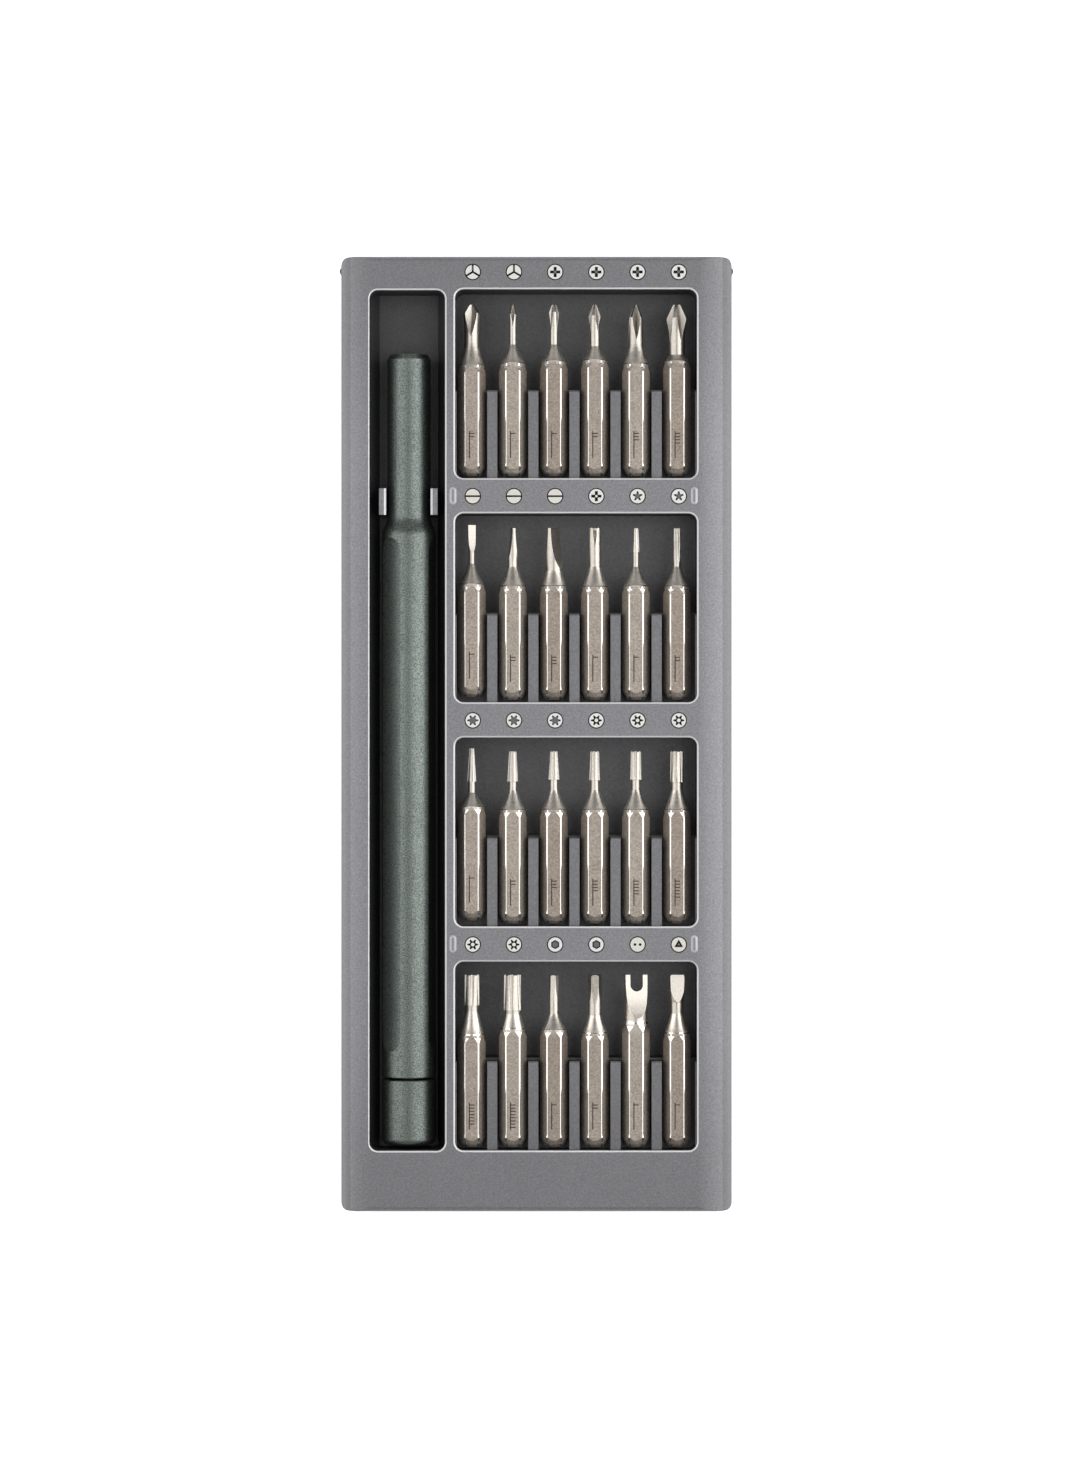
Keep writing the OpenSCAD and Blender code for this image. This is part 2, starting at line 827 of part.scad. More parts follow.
// A tip with n lobes that widens from tip to widest, with an optional blind hole in its end
module lobe_bit(n, tip, widest, t_lobe, neck, flare_0, flare_1, hole = 0, turn = 0) {
    cut_0 = 0.9 * tip / n;
    cut_1 = 0.9 * widest / n;
    t_cut = t_lobe + 0.4;
    line_0 = 0.7 * tip / 2 + cut_0;
    line_1 = neck / 2 + 0.02 + cut_1;
    difference() {
        blank(tip - 0.1, tip, 0.1, 0.15, widest, t_lobe, t_lobe);
        // hollows between the lobes, each a leaning cone that comes out above the neck
        for (k = [0 : n - 1])
            rotate(turn + (k + 0.5) * 360 / n)
                translate([line_0, 0, 0])
                    rotate([0, atan((line_1 - line_0) / t_cut), 0])
                        translate([0, 0, -1])
                            cylinder(h = t_cut + 1, r1 = cut_0, r2 = cut_1);
        if (hole > 0)
            translate([0, 0, -1])
                cylinder(h = 2.5, d = hole);
    }
    translate([0, 0, t_lobe - 0.4])
        cylinder(h = flare_0 + 0.5 - t_lobe, d = neck);
    shank(neck, flare_0, flare_1);
}

// A tip with flats, flat from the axis at the end. They run out in arcs at t_end.
module flats_bit(sides, flat, d, neck, t_end, turn, flare_0, flare_1) {
    difference() {
        blank(d - 0.3, d, 0.2, 0.6 * t_end, neck, t_end + 0.1, flare_0);
        ground(sides, flat, neck / 2, t_end, turn + 90)
            flat_edge(d);
    }
    shank(neck, flare_0, flare_1);
}

module bit_tri_wing_large() {
    in_rack(0, 0, 2)
        winged_bit(n = 3, tip = 1, d = 2.75, t_wide = 1.4, neck = 2.4, t_end = 5.2, core = 0.3,
            turn = 37, flare_0 = 6.3, flare_1 = 10.35, half = 58, bend = 1.6);
}

module bit_tri_wing_small() {
    in_rack(0, 1, 1)
        winged_bit(n = 3, tip = 0.5, d = 1.3, t_wide = 1.55, neck = 1.12, t_end = 3.8, core = 0.16,
            turn = 30, flare_0 = 6.5, flare_1 = 10.1, half = 42);
}

module bit_cross_extra_small() {
    in_rack(0, 2, 1)
        winged_bit(n = 4, tip = 0.7, d = 1.6, t_wide = 1.2, neck = 1.3, t_end = 4.3, core = 0.17,
            turn = -8, flare_0 = 6.5, flare_1 = 9.8, half = 36);
}

module bit_cross_small() {
    in_rack(0, 3, 2)
        winged_bit(n = 4, tip = 0.6, d = 2, t_wide = 1.8, neck = 1.6, t_end = 4.3, core = 0.2,
            turn = 12, flare_0 = 6.8, flare_1 = 9.6, half = 38);
}

module bit_cross_medium() {
    in_rack(0, 4, 3)
        winged_bit(n = 4, tip = 0.45, d = 2.5, t_wide = 2.1, neck = 2.4, t_end = 5.8, core = 0.16,
            turn = 41, flare_0 = 6.5, flare_1 = 10.2, half = 43, bend = 1.5);
}

module bit_cross_large() {
    in_rack(0, 5, 4)
        winged_bit(n = 4, tip = 1.2, d = 3.3, t_wide = 2.2, neck = 2.6, t_end = 6.1, core = 0.3,
            turn = 14, flare_0 = 8.2, flare_1 = 9.7, half = 42);
}

module bit_slot_small() {
    in_rack(1, 0, 1, forward = 0.5)
        blade_bit(w = 1.26, th = 0.3, grind = 4.5, neck = 0.98, turn = -14, flare_0 = 6.3, flare_1 = 10.2);
}

module bit_slot_medium() {
    in_rack(1, 1, 2)
        blade_bit(w = 2, th = 0.45, grind = 5.2, neck = 1.65, turn = 78, flare_0 = 6.3, flare_1 = 10);
}

module bit_slot_large() {
    in_rack(1, 2, 3)
        blade_bit(w = 3, th = 0.5, grind = 6.6, neck = 2.6, turn = 120, flare_0 = 6.9, flare_1 = 10);
}

module bit_three_prong() {
    in_rack(1, 3, 1) {
        difference() {
            cylinder(h = 6.4, d1 = 2.04, d2 = 2);
            translate([0, 0, -1])
                cylinder(h = 3.4, d = 0.9);
            // three wedge-shaped gaps that narrow towards their ends
            for (k = [0 : 2])
                rotate(90 + 120 * k)
                    rotate([0, 90, 0])
                        linear_extrude(2)
                            polygon([[1, -0.58], [1, 0.58], [-3.4, 0]]);
        }
        shank(2, 6.3, 10.1);
    }
}

module bit_five_lobe_small() {
    in_rack(1, 4, 1)
        lobe_bit(n = 5, tip = 0.75, widest = 1.15, t_lobe = 3.8, neck = 1, flare_0 = 6.3, flare_1 = 10);
}

module bit_five_lobe_large() {
    in_rack(1, 5, 2)
        lobe_bit(n = 5, tip = 1.08, widest = 1.32, t_lobe = 5.4, neck = 1.24, flare_0 = 6.3, flare_1 = 10,
            turn = 20);
}

module bit_six_lobe_1() {
    in_rack(2, 0, 1, forward = 0.5)
        lobe_bit(n = 6, tip = 0.74, widest = 1.46, t_lobe = 5.3, neck = 1.22, flare_0 = 7.2, flare_1 = 10);
}

module bit_six_lobe_2() {
    in_rack(2, 1, 2)
        lobe_bit(n = 6, tip = 1.2, widest = 1.76, t_lobe = 4.8, neck = 1.34, flare_0 = 6.3, flare_1 = 10,
            turn = 8);
}

module bit_six_lobe_3() {
    in_rack(2, 2, 3)
        lobe_bit(n = 6, tip = 1.2, widest = 1.76, t_lobe = 4.5, neck = 1.38, flare_0 = 6.3, flare_1 = 10);
}

module bit_six_lobe_4() {
    in_rack(2, 3, 4)
        lobe_bit(n = 6, tip = 1.42, widest = 1.78, t_lobe = 4.6, neck = 1.42, flare_0 = 6.3, flare_1 = 10,
            hole = 0.45, turn = 12);
}

module bit_six_lobe_5() {
    in_rack(2, 4, 5)
        lobe_bit(n = 6, tip = 1.66, widest = 1.84, t_lobe = 4.5, neck = 1.44, flare_0 = 6.3, flare_1 = 10,
            hole = 0.5, turn = 5);
}

module bit_six_lobe_6() {
    in_rack(2, 5, 6)
        lobe_bit(n = 6, tip = 2.05, widest = 2.16, t_lobe = 4.9, neck = 1.86, flare_0 = 6.3, flare_1 = 10,
            hole = 0.6, turn = 20);
}

module bit_six_lobe_7() {
    in_rack(3, 0, 7)
        lobe_bit(n = 6, tip = 2.37, widest = 2.46, t_lobe = 4.9, neck = 2.2, flare_0 = 5.9, flare_1 = 10.3,
            hole = 0.7, turn = -5);
}

module bit_six_lobe_8() {
    in_rack(3, 1, 8)
        lobe_bit(n = 6, tip = 2.8, widest = 2.92, t_lobe = 5.7, neck = 2.6, flare_0 = 6.4, flare_1 = 9.3,
            hole = 0.8, turn = 12);
}

module bit_hex_small() {
    in_rack(3, 2, 1)
        flats_bit(sides = 6, flat = 0.67, d = 1.55, neck = 1.55, t_end = 3.7, turn = 10,
            flare_0 = 6.4, flare_1 = 9.4);
}

module bit_hex_large() {
    in_rack(3, 3, 2)
        flats_bit(sides = 6, flat = 0.98, d = 2.3, neck = 2.14, t_end = 4.5, turn = 0,
            flare_0 = 6.6, flare_1 = 10);
}

// A two-pronged fork with a round-bottomed slot and two ground flats
module bit_fork() {
    gap = 2.1;
    gap_end = 2.7;
    body = 3.75;
    in_rack(3, 4, 1) {
        rotate(-12)
            difference() {
                cylinder(h = 7.5, d = body);
                translate([-gap / 2, -5, -1])
                    cube([gap, 10, gap_end - gap / 2 + 1]);
                translate([0, 0, gap_end - gap / 2])
                    rotate([90, 0, 0])
                        cylinder(h = 10, d = gap, center = true);
                ground(2, 0.45, body / 2, 7, 90)
                    flat_edge(body);
            }
        shank(body, 7.4, 8.4);
    }
}

module bit_triangle() {
    in_rack(3, 5, 1)
        flats_bit(sides = 3, flat = 0.67, d = 2.62, neck = 2.12, t_end = 4.4, turn = -5,
            flare_0 = 6.3, flare_1 = 10);
}

tray_body();
base_cover();
cover_screws();
bit_magnets();
handle_body();
bit_socket();
socket_magnet();
cap_spindle();
spindle_clip();
bearing_inner_race();
bearing_balls();
bearing_cage();
bearing_outer_race();
swivel_cap();
bit_tri_wing_large();
bit_tri_wing_small();
bit_cross_extra_small();
bit_cross_small();
bit_cross_medium();
bit_cross_large();
bit_slot_small();
bit_slot_medium();
bit_slot_large();
bit_three_prong();
bit_five_lobe_small();
bit_five_lobe_large();
bit_six_lobe_1();
bit_six_lobe_2();
bit_six_lobe_3();
bit_six_lobe_4();
bit_six_lobe_5();
bit_six_lobe_6();
bit_six_lobe_7();
bit_six_lobe_8();
bit_hex_small();
bit_hex_large();
bit_fork();
bit_triangle();
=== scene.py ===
"""The looks of the precision screwdriver set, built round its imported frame.

Everything is in metres in the row frame: the tray lies on the floor at z = 0 with its open
pockets up, the bits point along +Y. Lengths that are easier to read in millimetres are
multiplied by MM.
"""

import json
import math

import bmesh
import bpy
from mathutils import Matrix, Vector


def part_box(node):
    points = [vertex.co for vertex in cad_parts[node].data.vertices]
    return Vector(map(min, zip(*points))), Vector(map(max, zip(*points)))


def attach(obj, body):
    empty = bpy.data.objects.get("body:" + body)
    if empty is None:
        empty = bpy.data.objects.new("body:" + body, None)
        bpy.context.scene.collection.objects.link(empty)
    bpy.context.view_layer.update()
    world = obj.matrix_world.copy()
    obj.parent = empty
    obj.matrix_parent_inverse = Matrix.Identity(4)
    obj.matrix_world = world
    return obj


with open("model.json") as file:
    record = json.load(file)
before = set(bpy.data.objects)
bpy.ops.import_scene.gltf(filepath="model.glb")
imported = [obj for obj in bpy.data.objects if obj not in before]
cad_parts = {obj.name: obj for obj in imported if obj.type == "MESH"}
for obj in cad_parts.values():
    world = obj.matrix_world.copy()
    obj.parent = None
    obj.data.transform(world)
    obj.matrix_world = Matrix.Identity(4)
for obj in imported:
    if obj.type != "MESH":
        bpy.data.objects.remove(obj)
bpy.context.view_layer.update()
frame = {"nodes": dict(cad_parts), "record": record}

MM = 0.001
ROWS, COLS = 4, 6

# ------------------------------------------------------------------ places, from the frame

UNDERSIDE_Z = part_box("base_cover")[0].z
TRAY_HEIGHT = 14.5 * MM
FACE_Z = UNDERSIDE_Z + TRAY_HEIGHT
ROW_PITCH = 36.4 * MM
COL_PITCH = 6.69 * MM
BIT_TOP_DEPTH = 1.0 * MM   # of the bits' top flats, below the tray's face
BIT_WIDTH = 4 * MM         # across the shank's flats
BIT_AXIS_Z = FACE_Z - BIT_TOP_DEPTH - BIT_WIDTH / 2
BITS = [
    ["bit_tri_wing_large", "bit_tri_wing_small", "bit_cross_extra_small",
     "bit_cross_small", "bit_cross_medium", "bit_cross_large"],
    ["bit_slot_small", "bit_slot_medium", "bit_slot_large",
     "bit_three_prong", "bit_five_lobe_small", "bit_five_lobe_large"],
    ["bit_six_lobe_1", "bit_six_lobe_2", "bit_six_lobe_3",
     "bit_six_lobe_4", "bit_six_lobe_5", "bit_six_lobe_6"],
    ["bit_six_lobe_7", "bit_six_lobe_8", "bit_hex_small",
     "bit_hex_large", "bit_fork", "bit_triangle"],
]


def bit_x(col):
    lo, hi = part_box(BITS[0][col])
    return (lo.x + hi.x) / 2


# the first row's bits end this far up the tray; the other rows repeat it
TIP_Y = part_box(BITS[0][0])[1].y
# added before the first tip, so that a longer bit's tip still counts in its own row
TIP_SPARE = 0.7 * MM


# ------------------------------------------------------------------ material graphs

class Graph:
    """A material's node tree, with short calls for the nodes used here.

    Positions are in millimetres in the row frame at rest, so a mask stays put on a body that moves.
    """

    def __init__(self, name):
        self.material = bpy.data.materials.new(name)
        self.material.use_nodes = True
        self.tree = self.material.node_tree
        self.shader = self.tree.nodes["Principled BSDF"]
        coords = self.tree.nodes.new("ShaderNodeTexCoord")
        scale = self.tree.nodes.new("ShaderNodeVectorMath")
        scale.operation = "SCALE"
        scale.inputs["Scale"].default_value = 1 / MM
        self.tree.links.new(coords.outputs["Object"], scale.inputs[0])
        self.position = scale.outputs["Vector"]

    def put(self, socket, value):
        """Links an output to a socket, or sets the socket's own value."""
        if isinstance(value, bpy.types.NodeSocket):
            self.tree.links.new(value, socket)
        else:
            socket.default_value = value

    def set(self, **values):
        """Sets the shader's inputs, such as Roughness=0.4."""
        for name, value in values.items():
            self.put(self.shader.inputs[name.replace("_", " ")], value)

    def math(self, operation, a, b=0.0, clamp=False):
        node = self.tree.nodes.new("ShaderNodeMath")
        node.operation = operation
        node.use_clamp = clamp
        self.put(node.inputs[0], a)
        self.put(node.inputs[1], b)
        return node.outputs[0]

    def remap(self, value, lo, hi, out_lo, out_hi, smooth=False):
        node = self.tree.nodes.new("ShaderNodeMapRange")
        node.interpolation_type = "SMOOTHSTEP" if smooth else "LINEAR"
        for socket, v in zip(node.inputs, (value, lo, hi, out_lo, out_hi)):
            self.put(socket, v)
        return node.outputs[0]

    def rise(self, value, start, end, smooth=False):
        """A mask that goes from 0 to 1 while the value goes from start to end."""
        return self.remap(value, start, end, 0, 1, smooth)

    def times(self, *factors):
        """The product of all the factors."""
        product = factors[0]
        for factor in factors[1:]:
            product = self.math("MULTIPLY", product, factor)
        return product

    def vary(self, noise, lo, hi):
        """A noise's usual range, spread over lo to hi."""
        return self.remap(noise, 0.3, 0.7, lo, hi)

    def axes(self, vector):
        node = self.tree.nodes.new("ShaderNodeSeparateXYZ")
        self.put(node.inputs[0], vector)
        return node.outputs

    def stretch(self, x, y, z):
        """The position scaled by axis, for grain that runs one way."""
        node = self.tree.nodes.new("ShaderNodeVectorMath")
        node.operation = "MULTIPLY"
        self.put(node.inputs[0], self.position)
        node.inputs[1].default_value = (x, y, z)
        return node.outputs["Vector"]

    def noise(self, per_mm, detail=2.0, rough=0.5, vector=None):
        node = self.tree.nodes.new("ShaderNodeTexNoise")
        self.put(node.inputs["Vector"], vector or self.position)
        node.inputs["Scale"].default_value = per_mm
        node.inputs["Detail"].default_value = detail
        node.inputs["Roughness"].default_value = rough
        return node.outputs[0]

    def mix(self, factor, a, b):
        node = self.tree.nodes.new("ShaderNodeMix")
        node.data_type = "RGBA"
        self.put(node.inputs[0], factor)
        self.put(node.inputs[6], a)
        self.put(node.inputs[7], b)
        return node.outputs[2]

    def shade(self, colour, amount):
        """A colour made lighter or darker by a factor."""
        node = self.tree.nodes.new("ShaderNodeVectorMath")
        node.operation = "SCALE"
        if not isinstance(colour, bpy.types.NodeSocket):
            colour = colour[:3]
        self.put(node.inputs[0], colour)
        self.put(node.inputs["Scale"], amount)
        return node.outputs["Vector"]

    def bump(self, height, distance_mm, normal=None):
        node = self.tree.nodes.new("ShaderNodeBump")
        node.inputs["Distance"].default_value = distance_mm * MM
        self.put(node.inputs["Height"], height)
        if normal is not None:
            self.put(node.inputs["Normal"], normal)
        return node.outputs[0]

    def soft_normal(self, radius_mm):
        """The normal with edges rounded over a radius."""
        node = self.tree.nodes.new("ShaderNodeBevel")
        node.samples = 4
        node.inputs["Radius"].default_value = radius_mm * MM
        return node.outputs[0]

    def edge_mask(self, radius_mm):
        """0 on open faces, rising to 1 along edges that wear or a painted highlight brightens.

        The mask is how far the rounded normal leans away from the smooth one, as a cosine.
        """
        sharp = self.tree.nodes.new("ShaderNodeNewGeometry").outputs["Normal"]
        dot = self.tree.nodes.new("ShaderNodeVectorMath")
        dot.operation = "DOT_PRODUCT"
        self.put(dot.inputs[0], sharp)
        self.put(dot.inputs[1], self.soft_normal(radius_mm))
        return self.remap(dot.outputs["Value"], 0.99, 0.85, 0.0, 1.0)

    def flat_normal(self):
        """The normal of the bare facet, without smoothing."""
        return self.tree.nodes.new("ShaderNodeNewGeometry").outputs["True Normal"]

    def blend(self, factor, a, b):
        """Mixes two vectors."""
        node = self.tree.nodes.new("ShaderNodeMix")
        node.data_type = "VECTOR"
        self.put(node.inputs[0], factor)
        self.put(node.inputs[4], a)
        self.put(node.inputs[5], b)
        return node.outputs[1]

    def openness(self, distance_mm):
        """1 in the open, falling towards 0 down in grooves narrower than the distance."""
        node = self.tree.nodes.new("ShaderNodeAmbientOcclusion")
        node.samples = 4
        node.only_local = True
        node.inputs["Distance"].default_value = distance_mm * MM
        return node.outputs["AO"]

    def off_axis(self):
        """Distance in millimetres from the axis of the bit in the same column."""
        x, _, z = self.axes(self.position)
        pitch = COL_PITCH / MM
        x = self.math("MODULO", self.math("SUBTRACT", x, bit_x(0) / MM - pitch / 2), pitch)
        x = self.math("SUBTRACT", x, pitch / 2)
        z = self.math("SUBTRACT", z, BIT_AXIS_Z / MM)
        return self.math("SQRT", self.math("ADD", self.times(x, x), self.times(z, z)))

    def from_tip(self):
        """Distance in millimetres back along the bit, from just before its row's first tip."""
        along = self.math("SUBTRACT", (TIP_Y + TIP_SPARE) / MM, self.axes(self.position)[1])
        return self.math("MODULO", along, ROW_PITCH / MM)

    def facing(self):
        """The bare facet's normal in the row frame at rest."""
        node = self.tree.nodes.new("ShaderNodeVectorTransform")
        node.vector_type = "NORMAL"
        node.convert_from = "WORLD"
        node.convert_to = "OBJECT"
        self.put(node.inputs[0], self.flat_normal())
        return self.axes(node.outputs[0])


def rgb(r, g, b):
    """An sRGB colour in 0 to 255, as linear light."""
    def linear(v):
        v /= 255
        return v / 12.92 if v <= 0.04045 else ((v + 0.055) / 1.055) ** 2.4
    return (linear(r), linear(g), linear(b), 1.0)


def tray_plastic():
    """Grey moulded plastic with a fine metallic speckle; the pockets' top edges and the pips' edges
    carry a painted highlight, and painted shade darkens the walls, the wells' floors, the ribs'
    tops and the ends.
    """
    g = Graph("tray_plastic")
    across, along, z = g.axes(g.position)
    across, along = g.math("ABSOLUTE", across), g.math("ABSOLUTE", along)
    height = g.math("SUBTRACT", z, FACE_Z / MM)
    tilt = g.facing()[2]

    # painted shade: the ends, the wells' floors and the ribs' tops are made darker than the face,
    # over a faint random tone
    tone = g.times(
        g.vary(g.noise(0.06, 2), 0.97, 1.03),
        g.remap(along, 71.0, 45.0, 0.82, 1.0, smooth=True),
        g.remap(height, -7.0, -3.0, 0.5, 1.0),
        g.remap(height, -1.65, -1.45, 0.72, 1.0))
    speckle = g.vary(g.noise(3.6, 3, 0.65), 0.72, 1.28)
    base = g.shade(rgb(134, 134, 138), g.math("MULTIPLY", speckle, tone))

    # painted shade: upright walls are darkened, the pockets' more so than the tray's outside
    inside = g.times(g.rise(across, 27.6, 27.4), g.rise(along, 76.0, 75.5))
    painted_wall_shade = g.remap(inside, 0, 1, 0.6, 0.3)
    base = g.shade(base, g.remap(tilt, 0.05, 0.45, painted_wall_shade, 1.0))

    # painted highlight: the sloping band at the top of the pockets' walls, and the pips' edges, are
    # lightened towards white
    painted_rim_highlight = g.times(
        g.rise(height, -1.4, -1.3), g.rise(tilt, 0.97, 0.9), g.rise(tilt, 0.2, 0.4),
        inside, g.rise(height, 0.01, 0.0))
    painted_pip_highlight = g.times(g.remap(height, 0.02, 0.04, 0, 0.45), g.rise(tilt, 0.99, 0.96))
    colour = g.mix(g.math("MAXIMUM", painted_rim_highlight, painted_pip_highlight), base, rgb(250, 250, 252))
    g.set(Base_Color=colour, Metallic=0.25, IOR=1.8, Roughness=g.vary(g.noise(2.0, 2), 0.46, 0.58))
    g.set(Normal=g.bump(g.noise(7.0, 2, 0.6), 0.012, g.soft_normal(0.12)))
    return g.material


def blasted_aluminium():
    """Bead-blasted, dark green-grey anodised aluminium that sparkles."""
    g = Graph("blasted_aluminium")
    sparkle = g.remap(g.noise(4.6, 3, 0.75), 0.34, 0.66, 0.42, 1.7)
    tone = g.vary(g.noise(0.25, 2), 0.94, 1.06)
    # the long flat that faces left is milled; a painted highlight makes it brighter than the round
    # grip
    painted_flat_highlight = g.remap(g.facing()[0], -0.6, -0.68, 1.0, 1.5)
    base = g.shade(rgb(114, 121, 117), g.times(sparkle, tone, painted_flat_highlight))
    worn = g.times(g.edge_mask(0.12), g.remap(g.noise(1.5, 2), 0.4, 0.6, 0.2, 0.8))
    g.set(Base_Color=g.mix(worn, base, rgb(178, 184, 178)), Metallic=1.0)
    g.set(Roughness=g.vary(g.noise(3.0, 2), 0.36, 0.45))
    g.set(Normal=g.bump(g.noise(8.0, 2, 0.6), 0.02, g.soft_normal(0.08)))
    return g.material


def bit_steel(name, tint):
    """Satin nickel plate. The shank is a little pinker and duller than the ground neck and tip."""
    g = Graph(name)
    from_tip = g.from_tip()
    facing = g.facing()
    lean = g.math("ABSOLUTE", facing[0])
    grain = g.noise(1.0, 3, 0.6, g.stretch(7.0, 2.2, 7.0))
    grit = g.noise(3.2, 3, 0.7)

    # shank and neck; on the neck, a painted highlight brightens the flare's sides and painted shade
    # darkens its grooves
    on_neck = g.rise(from_tip, 10.8, 9.0, smooth=True)
    on_flare = g.times(g.rise(facing[1], 0.1, 0.2), g.rise(from_tip, 6.0, 7.0))
    patch = g.vary(g.noise(0.5, 3), 0.93, 1.07)
    shank = g.shade(rgb(*tint), g.times(g.vary(grit, 0.66, 1.3), patch))
    neck = g.shade(rgb(210, 203, 193), g.vary(grain, 0.78, 1.14))
    neck = g.shade(neck, g.remap(g.openness(0.5), 0.35, 0.9, 0.3, 1.0))
    neck = g.shade(neck, g.remap(g.times(on_flare, g.rise(lean, 0.1, 0.45)), 0, 1, 0.95, 1.6))
    plating_and_painted_light = g.mix(on_neck, shank, neck)

    # painted highlights: the narrow facets between the hexagon's flats, the crown where the flare
    # meets them, and the tip's sharp edges are lightened towards white
    corner = g.times(
        g.rise(lean, 0.41, 0.45), g.rise(lean, 0.59, 0.55), g.rise(from_tip, 9.6, 10.6))
    crown = g.times(on_flare, g.rise(g.off_axis(), 1.91, 1.95))
    painted_edge_highlight = g.math("MAXIMUM", g.times(g.edge_mask(0.08), on_neck), corner)
    painted_edge_highlight = g.math("MAXIMUM", painted_edge_highlight, crown)

    # the size tally cut into the top flat keeps a dark residue
    depth = g.math("SUBTRACT", (FACE_Z - BIT_TOP_DEPTH) / MM, g.axes(g.position)[2])
    etched = g.times(
        g.rise(depth, 0.03, 0.05), g.rise(depth, 0.12, 0.09),
        g.rise(from_tip, 19.0, 20.0), g.rise(from_tip, 27.0, 26.5))
    painted_edge_highlight = g.math("SUBTRACT", painted_edge_highlight, etched, clamp=True)
    plating_and_painted_light = g.mix(etched, plating_and_painted_light, rgb(88, 78, 70))
    g.set(Base_Color=g.mix(painted_edge_highlight, plating_and_painted_light, rgb(253, 250, 244)), Metallic=1.0)

    rough = g.math("ADD", g.vary(grain, 0.56, 0.68), g.times(on_neck, -0.3))
    g.set(Roughness=g.math("ADD", rough, g.times(painted_edge_highlight, -0.45), clamp=True))
    normal = g.blend(g.rise(from_tip, 9.5, 10.0), g.soft_normal(0.04), g.flat_normal())
    g.set(Normal=g.bump(g.math("ADD", grain, grit), 0.008, normal))
    return g.material


def turned_steel():
    """Bright turned steel of the inner parts, with lathe rings about the handle's axis."""
    g = Graph("turned_steel")
    rings = g.noise(1.0, 2, 0.5, g.stretch(0.4, 14.0, 0.4))
    g.set(Base_Color=g.shade(rgb(206, 207, 210), g.vary(rings, 0.86, 1.1)), Metallic=1.0)
    g.set(Roughness=g.vary(g.noise(2.0), 0.2, 0.34))
    g.set(Normal=g.bump(rings, 0.01, g.soft_normal(0.05)))
    return g.material


def blackened_steel():
    """Turned steel coloured nearly black as painted shade, so that the narrow gap by the handle's
    cap reads dark; lighter grey in places.
    """
    g = Graph("blackened_steel")
    grey_patches = g.remap(g.noise(1.6, 3), 0.45, 0.75, 0.0, 0.4)
    g.set(Base_Color=g.mix(grey_patches, rgb(26, 26, 28), rgb(74, 74, 76)), Metallic=0.6)
    g.set(Roughness=g.vary(g.noise(2.4), 0.45, 0.6))
    rings = g.noise(1.0, 2, 0.5, g.stretch(0.4, 14.0, 0.4))
    g.set(Normal=g.bump(rings, 0.008, g.soft_normal(0.05)))
    return g.material


def magnet_plate():
    """Nickel-plated magnet with a faint orange-peel surface."""
    g = Graph("magnet_plate")
    peel = g.noise(1.2, 3)
    g.set(Base_Color=g.shade(rgb(176, 176, 178), g.vary(peel, 0.9, 1.08)), Metallic=1.0)
    g.set(Roughness=g.vary(g.noise(0.6), 0.16, 0.3))
    g.set(Normal=g.bump(peel, 0.01, g.soft_normal(0.1)))
    return g.material


def cage_brass():
    """Stamped brass with a dull bloom."""
    g = Graph("cage_brass")
    bloom = g.noise(2.0, 3)
    g.set(Base_Color=g.mix(g.rise(bloom, 0.35, 0.65), rgb(200, 160, 86), rgb(156, 120, 62)))
    g.set(Metallic=1.0, Roughness=g.vary(bloom, 0.26, 0.42))
    g.set(Normal=g.bump(g.noise(5.0), 0.01))
    return g.material


def ink(name, colour, mottle):
    """Pad-printed ink: slightly uneven colour and a satin skin over the tray's grain."""
    g = Graph(name)
    blotch = g.vary(g.noise(3.2, 3, 0.6), 1 - mottle, 1 + mottle / 3)
    g.set(Base_Color=g.shade(rgb(*colour), blotch))
    g.set(Roughness=g.vary(g.noise(4.0), 0.6, 0.75), Specular_IOR_Level=0.15)
    g.set(Normal=g.bump(g.noise(7.0, 2), 0.006))
    return g.material


PAINT = {
    "tray_plastic": tray_plastic(),
    "blasted_aluminium": blasted_aluminium(),
    "hidden_steel": turned_steel(),
    "blackened_steel": blackened_steel(),
    "magnet": magnet_plate(),
    "cage_brass": cage_brass(),
}
BIT_TINTS = [(184, 173, 162), (176, 164, 153), (187, 177, 166)]
BIT_PAINT = [bit_steel("bit_steel_%d" % i, tint) for i, tint in enumerate(BIT_TINTS)]
BIT_NODES = [name for row in BITS for name in row]


def paint_frame():
    """Gives every carried-over node the material of its slot."""
    for entry in frame["record"]["subparts"]:
        name = entry["node"]
        if name in BIT_NODES:
            material = BIT_PAINT[(BIT_NODES.index(name) * 2) % len(BIT_PAINT)]
        else:
            material = PAINT[entry["material_slot"]]
        mesh = frame["nodes"][name].data
        mesh.materials.clear()
        mesh.materials.append(material)


# ------------------------------------------------------------------ printed drive icons

INKS = [
    ink("ink_outline", (24, 23, 24), 0.2),
    ink("ink_white", (240, 239, 234), 0.05),
    ink("ink_cream", (234, 232, 222), 0.08),
    ink("ink_mark", (20, 19, 20), 0.2),
    ink("ink_grey", (112, 112, 115), 0.12),
]
OUTLINE, WHITE, CREAM, MARK, GREY = range(len(INKS))
DISC_R = 1.16 * MM
RING_R = 1.34 * MM
LAYER = 0.012 * MM   # thickness of one pass of ink


def circle(r, x=0.0, y=0.0, steps=40):
    return [
        (x + r * math.cos(2 * math.pi * i / steps), y + r * math.sin(2 * math.pi * i / steps))
        for i in range(steps)
    ]


def corners(n, r, turn):
    """A regular polygon's corners. turn is the first one's angle in degrees."""
    return [
        (r * math.cos(math.radians(turn) + 2 * math.pi * i / n),
         r * math.sin(math.radians(turn) + 2 * math.pi * i / n))
        for i in range(n)
    ]


